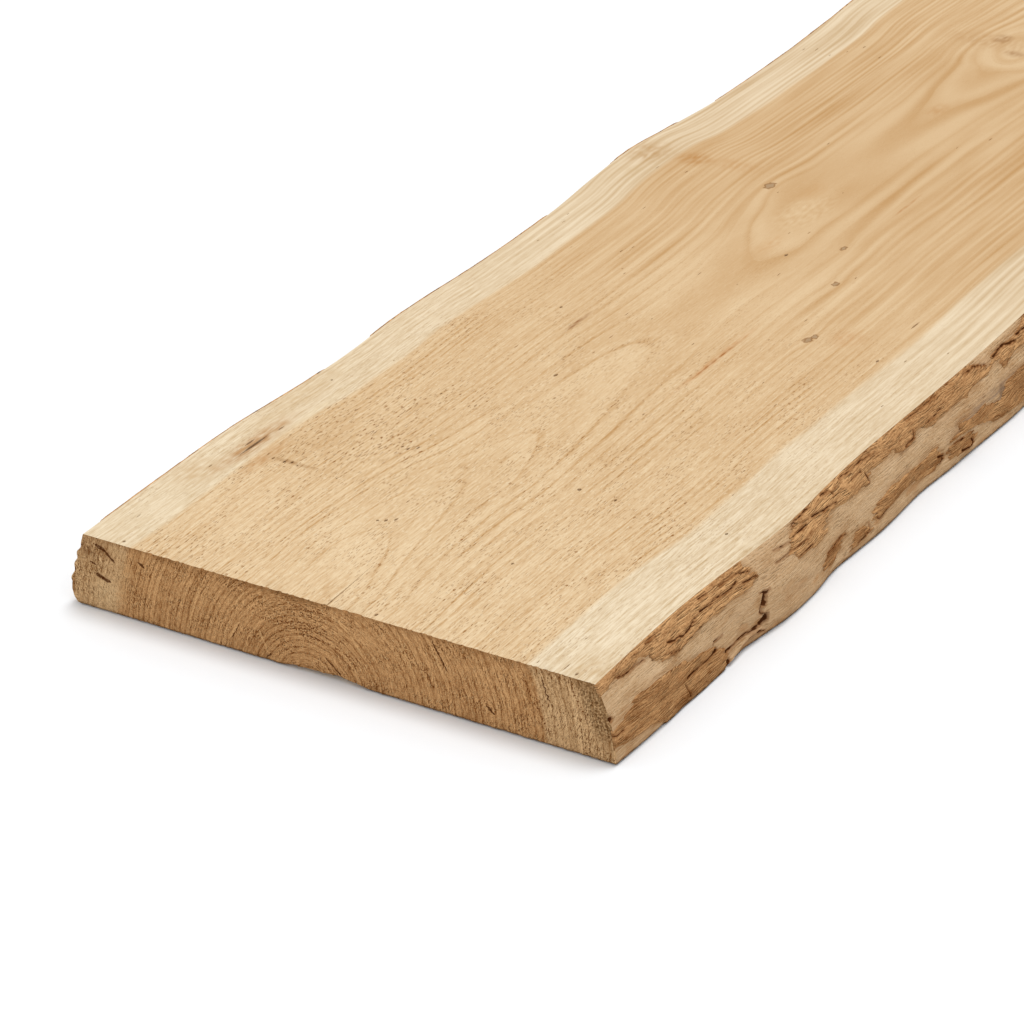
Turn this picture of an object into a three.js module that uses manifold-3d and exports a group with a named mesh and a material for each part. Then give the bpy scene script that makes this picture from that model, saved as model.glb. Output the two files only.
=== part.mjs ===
// Natural edge wood slab, in millimetres, +Z up, resting on its sawn underside.
// One board, sawn lengthwise from a log just above the pith and cut square at both ends. The top, the
// underside and the ends are flat. The two long edges are the outside of the tree: they wander with its
// growth, and strips of inner bark are still on them, a thin ledge above the bare sapwood.
//
// Places are measured on the board itself: x across it from the near left top corner, y along it from
// the near end, and z up from the underside. middleX and middleY put the origin under its middle.

import * as THREE from "three";
import Module from "manifold-3d";
import { mergeVertices } from "three/addons/utils/BufferGeometryUtils.js";

const wasm = await Module();
wasm.setup();

const slabLength = 1000;
const slabThickness = 30;
const middleX = 107.9;
const middleY = slabLength / 2;

const barkThickness = 1.2;
const barkLedgeWidth = 1.6;
const stationCount = 200;
const edgeSteps = 10;

// The top arrises, where the live edges meet the sawn top, as [y, x]. The left one swells at a knot.
const leftArris = [
  [0, 0], [60, -1.5], [100, -1.9], [140, 0.6], [175, 1.3], [220, -0.2], [280, 1.8], [335, 1.4],
  [375, -1.6], [412, -3.2], [437, -1], [480, 2.8], [545, 3.1], [592, 1.5], [640, -0.8], [700, 0.9],
  [760, 3.2], [820, 1.6], [868, -2.2], [915, -2.6], [960, -0.2], [1000, 1.4],
];
const rightArris = [
  [0, 213], [60, 212.3], [86, 213.2], [110, 214.8], [143, 215.9], [170, 214.6], [195, 213.8],
  [235, 214.3], [290, 215.1], [340, 214.6], [400, 213.4], [450, 214.2], [510, 216], [560, 216.8],
  [620, 215.2], [690, 212.9], [750, 213.5], [820, 215.8], [880, 216.4], [940, 214.6], [1000, 213.2],
];

// How far the left edge bulges past its arris, as [y, bulge], and where the right edge meets the
// underside, as [y, x].
const leftBulge = [
  [0, 5.4], [120, 4.6], [240, 6.2], [360, 5], [412, 6], [500, 4.4], [640, 5.8], [780, 4.8],
  [900, 6], [1000, 5.2],
];
const rightFoot = [
  [0, 222.2], [40, 222], [75, 222], [92, 221.6], [104, 223.1], [122, 224.8], [146, 224.2],
  [162, 222.6], [181, 222.8], [210, 223.8], [242, 223.4], [262, 224.4], [290, 225.3], [330, 225],
  [400, 223], [450, 223.8], [510, 225.2], [560, 225.4], [620, 224], [690, 222.2], [760, 223],
  [820, 225], [880, 225.3], [940, 223.8], [1000, 222.6],
];

// Where inner bark is left on the right edge, each outline as [y, z] points. The outlines that reach
// above the arris or below the underside are trimmed by the sawn faces.
const rightBark = [
  [
    [-4, 33], [98, 33], [104, 28], [108, 24], [98, 20.6], [84, 21], [68, 21.8], [56, 20.4],
    [48, 19.2], [38, 22.2], [34, 25.8], [26, 26.3], [10, 26.6], [-4, 26],
  ],
  [
    [-4, 13.2], [8, 15.2], [20, 18.4], [38, 18.4], [47, 16.2], [56, 13.8], [72, 12.4], [76, 8.6],
    [80, 6], [80.5, -3], [34, -3], [28, 2.5], [14, 4.2], [-4, 5],
  ],
  [
    [133, 22], [137, 26.5], [141, 29.5], [146, 33], [286, 33], [291, 28], [301, 25.7], [308, 24.6],
    [290, 22.7], [277, 21.2], [250, 21], [244, 23.8], [235, 21.2], [224, 21.4], [218, 23.7],
    [202, 23.4], [197.5, 21.2], [163, 21.7], [160, 17.6], [138, 17.6],
  ],
  [
    [308, 26.6], [322, 27], [340, 28], [356, 33], [436, 33], [430, 25], [408, 22], [372, 20.6],
    [330, 22.6], [314, 20.9],
  ],
  [[150, 5.4], [155, 10.6], [164, 11.9], [174, 11.6], [170, 7.5], [159, 4.2]],
  [[176, 2.2], [183, 8.3], [191, 8.3], [191, 4.8], [184, 3]],
  [[197, 6.6], [197, 11], [208, 14], [240, 13.6], [250, 14.4], [256, 8.5], [247, 4.6], [220, 6.4]],
  [[258, 5.6], [260, 10], [276, 10], [281, 6], [277, 3.4], [266, 4.6]],
  [[284, 5], [296, 12.6], [350, 9.8], [372, 6.4], [350, 3.6], [318, 4]],
  strip(452, 528, 19, 27),
  strip(500, 644, 20.5, 34),
  strip(668, 850, 18, 34),
  strip(872, 1010, 21.5, 34),
  strip(392, 452, 4.5, 11.5),
  strip(474, 584, -4, 8),
  strip(598, 668, 7.5, 14),
  strip(648, 744, -4, 6),
  strip(792, 908, 1.5, 10.5),
  strip(930, 984, 5, 12.5),
];

// The same for the left edge.
const leftBark = [
  strip(-10, 66, 24, 34),
  strip(56, 164, 19.5, 34),
  strip(188, 332, 22, 34),
  strip(312, 370, 13.5, 19.5),
  strip(388, 454, 16.5, 34),
  strip(474, 662, 23, 34),
  strip(704, 882, 19, 34),
  strip(908, 1010, 24, 34),
  strip(-10, 118, 4, 12.5),
  strip(146, 242, 3.5, 12.5),
  strip(264, 352, -4, 8),
  strip(372, 470, 3, 9.5),
  strip(500, 612, 1.5, 12),
  strip(642, 762, 5.5, 11.5),
  strip(784, 932, -4, 9),
  strip(950, 1010, 4, 12),
];

// Splits and chips in the sawn faces: the bark pocket beside the left edge, a drying check at each end,
// and the two shallow chips broken from the lower arris of the ends, under the pith.
const barkPocket = { x: 12.5, y: 92, length: 24, width: 1.8, depth: 5 };
const endChecks = [
  { mouth: [104.8, 0], tip: [103, 35], width: 0.7, depth: 5 },
  { mouth: [98.4, 1000], tip: [100.2, 952], width: 0.9, depth: 14 },
];
const chipOutline = [
  [86, -4], [88, 1.1], [97, 1.3], [104, 1.4], [109, 2.1], [113, 1.4], [119, 1.2], [121, -4],
];
const chipMiddleX = 103;
const chipRise = 1.3;
const chipReach = 11;

const woodColor = "#dcb88a";
const woodRoughness = 0.82;

// A smooth curve through [y, value] points, as a function of y.
function curveThrough(points) {
  const slopeAt = (i) => {
    const before = points[Math.max(i - 1, 0)];
    const after = points[Math.min(i + 1, points.length - 1)];
    return (after[1] - before[1]) / (after[0] - before[0]);
  };
  return (y) => {
    const passed = points.findLastIndex((point) => point[0] <= y);
    const i = THREE.MathUtils.clamp(passed, 0, points.length - 2);
    const span = points[i + 1][0] - points[i][0];
    const t = (y - points[i][0]) / span;
    const fromHere = points[i][1] * (1 + 2 * t) * (1 - t) ** 2 + points[i + 1][1] * t * t * (3 - 2 * t);
    return fromHere + span * (slopeAt(i) * t * (1 - t) ** 2 - slopeAt(i + 1) * t * t * (1 - t));
  };
}

// A strip of bark that runs along the grain and narrows at both ends, as an outline of [y, z] points.
function strip(yStart, yEnd, zLow, zHigh) {
  const taper = Math.min(0.2 * (yEnd - yStart), 16);
  const height = zHigh - zLow;
  return [
    [yStart, zLow + 0.35 * height],
    [yStart + 0.5 * taper, zLow + 0.8 * height],
    [yStart + taper, zHigh],
    [yEnd - taper, zHigh],
    [yEnd, zLow + 0.6 * height],
    [yEnd - 0.6 * taper, zLow + 0.2 * height],
    [yEnd - 1.5 * taper, zLow],
    [yStart + 1.5 * taper, zLow],
  ];
}

// How far the point [y, z] lies inside an outline; negative when it is outside.
function depthInside(outline, y, z) {
  let nearest = Infinity;
  let inside = false;
  for (let i = 0; i < outline.length; i += 1) {
    const [y0, z0] = outline[i];
    const [y1, z1] = outline[(i + 1) % outline.length];
    const along = ((y - y0) * (y1 - y0) + (z - z0) * (z1 - z0)) / ((y1 - y0) ** 2 + (z1 - z0) ** 2);
    const t = THREE.MathUtils.clamp(along, 0, 1);
    nearest = Math.min(nearest, Math.hypot(y - y0 - t * (y1 - y0), z - z0 - t * (z1 - z0)));
    if (z0 > z !== z1 > z && y < y0 + ((z - z0) / (z1 - z0)) * (y1 - y0)) {
      inside = !inside;
    }
  }
  return inside ? nearest : -nearest;
}

// The thickness of bark at a point of a live edge. It feathers out at the sawn arris.
function barkAt(outlines, y, z) {
  const deepest = Math.max(...outlines.map((outline) => depthInside(outline, y, z)));
  const ledge = THREE.MathUtils.smoothstep(deepest, 0, barkLedgeWidth);
  const belowArris = THREE.MathUtils.smoothstep(slabThickness - z, 0, 2);
  return barkThickness * ledge * belowArris;
}

// Slow swellings of the wood under the bark, none at the top arris.
function swelling(y, z, phase) {
  const long = 0.4 * Math.sin(y / 23 + z / 9 + phase);
  const short = 0.25 * Math.sin(y / 9.5 - z / 6 + 2 * phase);
  return (long + short) * (1 - (z / slabThickness) ** 4);
}

const leftArrisX = curveThrough(leftArris);
const rightArrisX = curveThrough(rightArris);
const leftBulgeX = curveThrough(leftBulge);
const rightFootX = curveThrough(rightFoot);

// The right edge bevels outwards below its arris and is nearly upright at its foot.
function rightEdgeX(y, z) {
  const bevel = 1 - (z / slabThickness) ** 2.6;
  const wood = rightArrisX(y) + (rightFootX(y) - rightArrisX(y)) * bevel;
  return wood + swelling(y, z, 0) + barkAt(rightBark, y, z);
}

// The left edge is round: widest a fifth of the way up, and drawn in at its foot.
function leftEdgeX(y, z) {
  const down = 1 - z / slabThickness;
  const bow = Math.sin((Math.PI / 2) * Math.min(down / 0.8, 1));
  const footDrawnIn = 2.4 * THREE.MathUtils.smoothstep(down, 0.86, 1);
  const wood = leftArrisX(y) - leftBulgeX(y) * bow + footDrawnIn;
  return wood - swelling(y, z, 1.7) - barkAt(leftBark, y, z);
}

// One closed skin: a ring of points at each station along the board, up the right edge and down the
// left one, joined to the next ring, and a cap at each end.
function sawnBoard() {
  const heights = Array.from({ length: edgeSteps + 1 }, (_, i) => (slabThickness * i) / edgeSteps);
  const positions = [];
  const triangles = [];
  for (let station = 0; station <= stationCount; station += 1) {
    const y = (slabLength * station) / stationCount;
    heights.forEach((z) => positions.push(rightEdgeX(y, z), y, z));
    heights.toReversed().forEach((z) => positions.push(leftEdgeX(y, z), y, z));
  }
  const ringSize = 2 * heights.length;
  for (let station = 0; station < stationCount; station += 1) {
    for (let i = 0; i < ringSize; i += 1) {
      const here = station * ringSize + i;
      const up = station * ringSize + ((i + 1) % ringSize);
      triangles.push(here, here + ringSize, up, up, here + ringSize, up + ringSize);
    }
  }
  const capAt = (station, turned) => {
    const start = station * ringSize;
    const outline = Array.from({ length: ringSize }, (_, i) => {
      return new THREE.Vector2(positions[3 * (start + i)], positions[3 * (start + i) + 2]);
    });
    THREE.ShapeUtils.triangulateShape(outline, []).forEach(([a, b, c]) => {
      triangles.push(start + a, start + (turned ? c : b), start + (turned ? b : c));
    });
  };
  capAt(0, false);
  capAt(stationCount, true);
  const geometry = new THREE.BufferGeometry();
  geometry.setAttribute("position", new THREE.Float32BufferAttribute(positions, 3));
  geometry.setIndex(triangles);
  return geometry;
}

// A closed mesh as a solid that can be cut.
function solidOf(geometry) {
  const bare = geometry.clone();
  bare.deleteAttribute("normal");
  bare.deleteAttribute("uv");
  const merged = mergeVertices(bare, 1e-4);
  const triVerts = Uint32Array.from(merged.index.array);
  const vertProperties = Float32Array.from(merged.attributes.position.array);
  return new wasm.Manifold(new wasm.Mesh({ numProp: 3, vertProperties, triVerts }));
}

function geometryOf(solid) {
  const mesh = solid.getMesh();
  const geometry = new THREE.BufferGeometry();
  geometry.setAttribute("position", new THREE.Float32BufferAttribute(mesh.vertProperties, 3));
  geometry.setIndex(Array.from(mesh.triVerts));
  return geometry;
}

// A slot cut straight down into the top face, from its outline seen from above.
function slotInTop(outline, depth) {
  const shape = new THREE.Shape(outline.map(([x, y]) => new THREE.Vector2(x, y)));
  const slot = new THREE.ExtrudeGeometry(shape, { depth: depth + 1, bevelEnabled: false });
  return solidOf(slot.translate(0, 0, slabThickness - depth));
}

function barkPocketSlot() {
  const { x, y, length, width, depth } = barkPocket;
  const outline = [
    [x, y - length / 2], [x + width / 2, y - length / 6], [x + width / 2, y + length / 5],
    [x, y + length / 2], [x - width / 2, y + length / 6], [x - width / 2, y - length / 4],
  ];
  return slotInTop(outline, depth);
}

// The mouth of a check is carried a little past the end of the board, so that it is cut open there.
function endCheckSlot({ mouth, tip, width, depth }) {
  const outward = Math.sign(mouth[1] - tip[1]);
  const open = mouth[1] + outward;
  const outline = [[mouth[0] - width / 2, open], [mouth[0] + width / 2, open], tip];
  return slotInTop(outline, depth);
}

// A chip out of the lower arris of an end: highest at the end face and running out into the underside.
function chip(atFarEnd) {
  const shape = new THREE.Shape(chipOutline.map(([x, z]) => new THREE.Vector2(x, z)));
  const wedge = new THREE.ExtrudeGeometry(shape, { depth: 2 * chipReach, bevelEnabled: false });
  wedge.rotateX(Math.PI / 2).translate(0, chipReach, 0);
  wedge.rotateX(-Math.atan2(chipRise, chipReach));
  if (atFarEnd) {
    wedge.translate(-chipMiddleX, 0, 0).rotateZ(Math.PI).translate(chipMiddleX, slabLength, 0);
  }
  return solidOf(wedge);
}

function buildSlab() {
  let solid = solidOf(sawnBoard());
  const cuts = [barkPocketSlot(), ...endChecks.map(endCheckSlot), chip(false), chip(true)];
  cuts.forEach((cut) => {
    solid = solid.subtract(cut);
  });
  const geometry = geometryOf(solid);
  geometry.translate(-middleX, -middleY, 0);
  geometry.computeVertexNormals();
  return geometry;
}

const wood = new THREE.MeshStandardMaterial({ color: woodColor, roughness: woodRoughness, metalness: 0 });
wood.flatShading = true;
const slab = new THREE.Mesh(buildSlab(), wood);
slab.name = "slab";

const object = new THREE.Group();
object.add(slab);

export default object;
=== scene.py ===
import math
from collections import namedtuple

import bpy
import numpy as np
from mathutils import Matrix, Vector
from mathutils.geometry import delaunay_2d_cdt


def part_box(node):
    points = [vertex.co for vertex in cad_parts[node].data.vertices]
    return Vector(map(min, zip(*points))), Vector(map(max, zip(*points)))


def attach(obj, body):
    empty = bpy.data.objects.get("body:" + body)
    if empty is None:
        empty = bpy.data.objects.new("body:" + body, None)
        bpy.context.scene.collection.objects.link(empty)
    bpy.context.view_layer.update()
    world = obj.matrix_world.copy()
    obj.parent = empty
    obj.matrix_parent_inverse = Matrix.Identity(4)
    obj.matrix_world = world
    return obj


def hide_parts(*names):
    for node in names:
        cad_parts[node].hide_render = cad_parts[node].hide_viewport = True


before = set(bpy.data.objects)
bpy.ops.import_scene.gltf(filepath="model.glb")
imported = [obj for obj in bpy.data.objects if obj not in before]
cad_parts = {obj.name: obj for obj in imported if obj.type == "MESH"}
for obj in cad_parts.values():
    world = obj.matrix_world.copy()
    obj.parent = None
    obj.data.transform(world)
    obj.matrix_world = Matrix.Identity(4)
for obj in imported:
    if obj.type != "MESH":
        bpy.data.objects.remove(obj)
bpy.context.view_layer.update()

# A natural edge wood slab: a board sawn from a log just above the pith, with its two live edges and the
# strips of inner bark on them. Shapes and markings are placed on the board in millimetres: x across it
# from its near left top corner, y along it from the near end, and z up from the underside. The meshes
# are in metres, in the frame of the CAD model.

cad_low, cad_high = (np.array(corner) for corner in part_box("slab"))

MM = 0.001
slab_length = 1000.0
slab_thickness = 30.0
middle_x = 107.9
board_origin = np.array([-middle_x, -slab_length / 2, 0.0])
# The lower arrises are worn round up to this height.
foot_height = 0.9

# The top arrises as (y, x), how far the left edge bulges past its arris as (y, bulge), and where the
# right edge meets the underside as (y, x).
left_arris = [
    (0, 0), (60, -1.5), (100, -1.9), (140, 0.6), (175, 1.3), (220, -0.2), (280, 1.8), (335, 1.4),
    (375, -1.6), (412, -3.2), (437, -1), (480, 2.8), (545, 3.1), (592, 1.5), (640, -0.8), (700, 0.9),
    (760, 3.2), (820, 1.6), (868, -2.2), (915, -2.6), (960, -0.2), (1000, 1.4),
]
right_arris = [
    (0, 213.6), (30, 212.6), (60, 212.3), (86, 213.2), (110, 214.8), (143, 215.9), (170, 214.6),
    (195, 213.8), (235, 214.3), (290, 215.1), (340, 214.6), (400, 213.4), (450, 214.2), (510, 216),
    (560, 216.8), (620, 215.2), (690, 212.9), (750, 213.5), (820, 215.8), (880, 216.4), (940, 214.6),
    (1000, 213.2),
]
left_bulge = [
    (0, 5.4), (120, 4.6), (240, 6.2), (360, 5), (412, 6), (500, 4.4), (640, 5.8), (780, 4.8), (900, 6),
    (1000, 5.2),
]
right_foot = [
    (0, 222.2), (40, 222), (75, 222), (92, 221.6), (104, 223.1), (122, 224.8), (146, 224.2),
    (162, 222.6), (181, 222.8), (210, 223.8), (242, 223.4), (262, 224.4), (290, 225.3), (330, 225),
    (400, 223), (450, 223.8), (510, 225.2), (560, 225.4), (620, 224), (690, 222.2), (760, 223),
    (820, 225), (880, 225.3), (940, 223.8), (1000, 222.6),
]


def strips(places):
    """Strips of bark along the grain that narrow at both ends, from their y and z ranges."""
    outlines = []
    for y_start, y_end, z_low, z_high in places:
        taper = min(0.2 * (y_end - y_start), 16)
        height = z_high - z_low
        outlines.append([
            (y_start, z_low + 0.35 * height), (y_start + 0.5 * taper, z_low + 0.8 * height),
            (y_start + taper, z_high), (y_end - taper, z_high),
            (y_end, z_low + 0.6 * height), (y_end - 0.6 * taper, z_low + 0.2 * height),
            (y_end - 1.5 * taper, z_low), (y_start + 1.5 * taper, z_low),
        ])
    return outlines


# The bark left on each edge, as outlines of (y, z) points: fibrous strips under the arris, with cracks
# along the grain, and smoother ones lower down.
right_fibrous = [
    [(-4, 33), (98, 33), (104, 28), (108, 24), (98, 20.6), (84, 21), (68, 21.8), (56, 20.4), (48, 19.2),
     (38, 22.2), (34, 25.8), (26, 26.3), (10, 26.6), (-4, 26)],
    [(133, 22), (137, 26.5), (141, 29.5), (146, 33), (288, 33), (295, 28.7), (303, 26.3), (310, 25),
     (290, 23.3), (277, 22.1), (250, 22), (244, 24.4), (235, 22.1), (224, 22.3), (218, 24.2),
     (202, 23.5), (197.5, 21.2), (162, 21.8), (158, 17.8), (138, 17.6)],
    [(308, 26.6), (322, 27), (340, 28), (356, 33), (436, 33), (430, 25), (408, 22), (372, 20.6),
     (330, 22.6), (314, 20.9)],
] + strips([(452, 528, 19, 27), (500, 644, 20.5, 34), (668, 850, 18, 34), (872, 1010, 21.5, 34)])
right_smooth = [
    [(-4, 13.2), (8, 14.8), (20, 17.6), (38, 17.9), (47, 16), (56, 13.8), (72, 12.4), (76, 8.6),
     (80, 6), (80.5, -3), (38, -3), (32, 2.4), (20, 5.4), (-4, 6.4)],
    [(150, 5.4), (155, 10.6), (164, 11.9), (174, 11.6), (170, 7.5), (159, 4.2)],
    [(176, 2.2), (183, 8.3), (191, 8.3), (191, 4.8), (184, 3)],
    [(197, 6.6), (197, 11), (208, 13.4), (240, 13), (250, 13.6), (256, 8.5), (247, 5.2), (220, 7.6)],
    [(258, 5.6), (260, 10), (276, 10), (281, 6), (277, 3.4), (266, 4.6)],
    [(261, 11.6), (268, 15), (290, 15.2), (303, 12), (311, 16), (330, 16.6), (348, 12.4), (372, 6.4),
     (350, 3.6), (318, 4), (296, 6.2), (282, 10.6)],
] + strips([
    (392, 452, 4.5, 11.5), (474, 584, -4, 8), (598, 668, 7.5, 14), (648, 744, -4, 6),
    (792, 908, 1.5, 10.5), (930, 984, 5, 12.5),
])
left_fibrous = strips([
    (7, 66, 24, 34), (56, 164, 19.5, 34), (188, 332, 22, 34), (312, 370, 13.5, 19.5),
    (388, 454, 16.5, 34), (474, 662, 23, 34), (704, 882, 19, 34), (908, 1010, 24, 34),
])
left_smooth = strips([
    (-10, 118, 4, 12.5), (146, 242, 3.5, 12.5), (264, 352, -4, 8), (372, 470, 3, 9.5),
    (500, 612, 1.5, 12), (642, 762, 5.5, 11.5), (784, 932, -4, 9), (950, 1010, 4, 12),
])

# The tree: how deep its pith lies under the top face and where it lies across the board, each along y.
# Further than pith_reach from it, the rings keep to its usual place.
pith_depth = [
    (0, 35.2), (57, 37.55), (103, 40), (146, 42.45), (237, 44.9), (288, 45.9), (337, 45.1), (385, 43.3),
    (440, 42.9), (513, 42.45), (545, 41.3), (575, 40), (610, 37.2), (700, 39), (800, 43), (900, 45),
    (1000, 41),
]
pith_x = [
    (0, 95), (57, 88.5), (103, 91), (146, 94), (237, 92), (337, 92), (385, 87.5), (440, 87), (513, 88),
    (575, 89), (640, 95), (760, 104), (880, 106), (1000, 101),
]
usual_pith_depth = 35
usual_pith_x = 95
pith_reach = 45
usual_right_arris = 214

# The growth rings, and the border of the sapwood as a circle round its middle, at (x, z). Each lean is
# the share by which they are wider on the right.
ring_width = 2.45
ring_start = 40
ring_lean = 0.097
sapwood_radius = 90.5
sapwood_middle = (97, -7.7)
sapwood_lean = 0.077


# Curves and noise

def curve_through(points, y):
    """The smooth curve through (y, value) points, read at each y."""
    ys, values = np.array(points, float).T
    n = np.arange(len(ys))
    before, after = np.maximum(n - 1, 0), np.minimum(n + 1, n[-1])
    slopes = (values[after] - values[before]) / (ys[after] - ys[before])
    i = np.clip(np.searchsorted(ys, y, side="right") - 1, 0, n[-2])
    span = ys[i + 1] - ys[i]
    t = (y - ys[i]) / span
    places = values[i] * (1 + 2 * t) * (1 - t) ** 2 + values[i + 1] * t * t * (3 - 2 * t)
    return places + span * (slopes[i] * t * (1 - t) ** 2 - slopes[i + 1] * t * t * (1 - t))


def rise(value, start, end):
    """0 on start's side and 1 on end's side, with a smooth rise between them."""
    t = np.clip((value - start) / (end - start), 0, 1)
    return t * t * (3 - 2 * t)


def lattice(i, j, seed):
    """A repeatable random number from 0 to 1 for each whole-numbered place."""
    n = (i.astype(np.int64) * 374761393 + j.astype(np.int64) * 668265263 + seed * 974634777) & 0xFFFFFFFF
    n = ((n ^ (n >> 13)) * 1274126177) & 0xFFFFFFFF
    return ((n ^ (n >> 16)) & 0xFFFF) / 0xFFFF


def noise(u, v, seed):
    """Smooth noise from -1 to 1, with its lumps one unit apart."""
    i, j = np.floor(u), np.floor(v)
    a, b = u - i, v - j
    a, b = a * a * (3 - 2 * a), b * b * (3 - 2 * b)
    here = lattice(i, j, seed) * (1 - a) + lattice(i + 1, j, seed) * a
    beyond = lattice(i, j + 1, seed) * (1 - a) + lattice(i + 1, j + 1, seed) * a
    return 2 * (here * (1 - b) + beyond * b) - 1


def rough(u, v, seed):
    """Noise with finer and weaker layers of itself on top."""
    layers = [noise(k * u, k * v, seed + i) / k for i, k in enumerate((1, 2, 4))]
    return sum(layers) / 1.75


# The surface of the live edges

def swelling(y, z, phase):
    """Slow swellings of the wood under the bark, none at the top arris."""
    long = 0.4 * np.sin(y / 23 + z / 9 + phase)
    short = 0.25 * np.sin(y / 9.5 - z / 6 + 2 * phase)
    return (long + short) * (1 - (z / slab_thickness) ** 4)


def right_wood_x(y, z):
    bevel = 1 - (z / slab_thickness) ** (2 + 0.6 * rise(y, 0, 50))
    arris = curve_through(right_arris, y)
    foot = arris + (curve_through(right_foot, y) - arris) * bevel
    proud_rim = 0.7 * rise(8 - z, 0, 5) * rise(y, 0, 50)
    drawn_in = 0.9 * rise(z, foot_height, 0)
    return foot + swelling(y, z, 0) + proud_rim - drawn_in


def left_wood_x(y, z):
    down = 1 - z / slab_thickness
    bow = np.sin(math.pi / 2 * np.minimum(down / 0.8, 1))
    drawn_in = 2.4 * rise(down, 0.86, 1)
    bulge = curve_through(left_bulge, y) * bow
    return curve_through(left_arris, y) - bulge + drawn_in - swelling(y, z, 1.7)


def distance_to(line, y, z):
    """How far each place on the edge is from a line of (y, z) points."""
    nearest = np.full(y.shape, np.inf)
    for (y0, z0), (y1, z1) in zip(line, line[1:]):
        along = ((y - y0) * (y1 - y0) + (z - z0) * (z1 - z0)) / ((y1 - y0) ** 2 + (z1 - z0) ** 2)
        t = np.clip(along, 0, 1)
        nearest = np.minimum(nearest, np.hypot(y - y0 - t * (y1 - y0), z - z0 - t * (z1 - z0)))
    return nearest


def depth_inside(outline, y, z):
    """How far each place lies inside an outline; negative outside."""
    closed = outline + outline[:1]
    inside = np.zeros(y.shape, bool)
    for (y0, z0), (y1, z1) in zip(closed, closed[1:]):
        if z0 != z1:
            inside ^= ((z0 > z) != (z1 > z)) & (y < y0 + (z - z0) / (z1 - z0) * (y1 - y0))
    nearest = distance_to(closed, y, z)
    return np.where(inside, nearest, -nearest)


def bark_depth(outlines, y, z, seed):
    """How far each point lies inside the bark, whose edges are frayed along the grain."""
    frayed_y = y + 3.5 * noise(y / 22, z / 1.1, seed) + 2.5 * noise(y / 8, z / 0.6, seed + 1)
    frayed_z = z + 0.8 * noise(y / 10, z / 2.5, seed + 2) + 0.35 * noise(y / 4, z / 0.9, seed + 3)
    return np.max([depth_inside(outline, frayed_y, frayed_z) for outline in outlines], axis=0)


def surface_points(edge, y, z, height):
    """Points at a height over the wood of an edge, square to it."""
    step = 0.5
    z_up, z_down = np.minimum(z + step, slab_thickness), np.maximum(z - step, 0)
    slope_y = (edge.wood_x(y + step, z) - edge.wood_x(y - step, z)) / (2 * step)
    slope_z = (edge.wood_x(y, z_up) - edge.wood_x(y, z_down)) / (z_up - z_down)
    normal = np.stack([np.ones(y.shape), -slope_y, -slope_z], axis=-1) * edge.outward
    normal /= np.linalg.norm(normal, axis=-1, keepdims=True)
    points = np.stack([edge.wood_x(y, z), y, z], axis=-1) + normal * height[..., None]
    points[..., 1:] = np.clip(points[..., 1:], 0, (slab_length, slab_thickness))
    return points


def edge_grid(runs, rows):
    """The y and z of a grid of points over an edge, from the top arris down."""
    y_places = np.concatenate([np.arange(*run) for run in runs] + [[slab_length]])
    return np.meshgrid(y_places, np.linspace(slab_thickness, 0, rows), indexing="ij")


# The live edges: wood surface, bark outlines and the way out of the board. Runs say how far apart the
# points of the wood and the bark lie along the board, as (start, end, spacing). They lie closest where
# the right edge has its step and its gaping cracks.
Edge = namedtuple("Edge", "name wood_x fibrous smooth outward seed wood_runs bark_runs")
right_edge = Edge(
    "right", right_wood_x, right_fibrous, right_smooth, 1, 11,
    wood_runs=[
        (0, 78, 0.75), (78, 84, 0.5), (84, 102, 0.75), (102, 112, 0.4), (112, 350, 0.85),
        (350, 500, 2), (500, 1000, 3.125),
    ],
    bark_runs=[(0, 350, 0.5), (350, 1000, 1.5)],
)
left_edge = Edge(
    "left", left_wood_x, left_fibrous, left_smooth, -1, 47,
    wood_runs=[(0, 1000, 2.5)], bark_runs=[(0, 1000, 1.25)],
)
wood_rows = 50
bark_rows = 64


# Meshes and their maps

map_size = 1024


def put(name, data):
    """A new object in the scene."""
    made = bpy.data.objects.new(name, data)
    bpy.context.scene.collection.objects.link(made)
    return made


class Shell:
    """The points and faces of one closed piece, and their places on its map, gathered patch by patch."""

    def __init__(self):
        self.points, self.faces, self.map_places = [], [], []
        self.face_materials, self.face_smooth = [], []

    def add_points(self, points):
        """Adds an array of points and returns their numbers in the same arrangement."""
        points = np.asarray(points, float)
        first = len(self.points)
        self.points.extend(points.reshape(-1, 3))
        return np.arange(first, len(self.points)).reshape(points.shape[:-1])

    def add_faces(self, faces, material, placed, smooth=True):
        """Adds faces; placed turns a point of the board into its place on the map, in pixels."""
        for face in faces:
            self.faces.append([int(n) for n in face])
            self.face_materials.append(material)
            self.face_smooth.append(smooth)
            self.map_places.extend(placed(self.points[n]) for n in face)

    def build(self, name, materials):
        mesh = bpy.data.meshes.new(name)
        points = (np.array(self.points) + board_origin) * MM
        mesh.from_pydata(np.clip(points, cad_low, cad_high).tolist(), [], self.faces)
        for material in materials:
            mesh.materials.append(material)
        mesh.polygons.foreach_set("material_index", self.face_materials)
        mesh.polygons.foreach_set("use_smooth", self.face_smooth)
        layer = mesh.uv_layers.new(name="OFBake")
        layer.data.foreach_set("uv", (np.array(self.map_places) / map_size).ravel())
        mesh.update()
        return put(name, mesh)


def add_attribute(piece, name, values):
    attribute = piece.data.attributes.new(name, "FLOAT", "POINT")
    attribute.data.foreach_set("value", np.asarray(values, np.float32))


def map_strip(first_axis, second_axis, start, corner, scale):
    """A way of laying a side of the board flat on the map, from a start on it at a corner in pixels."""
    def placed(point):
        return (
            corner[0] + scale * (point[first_axis] - start[0]),
            corner[1] + scale * (point[second_axis] - start[1]),
        )
    return placed


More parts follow.
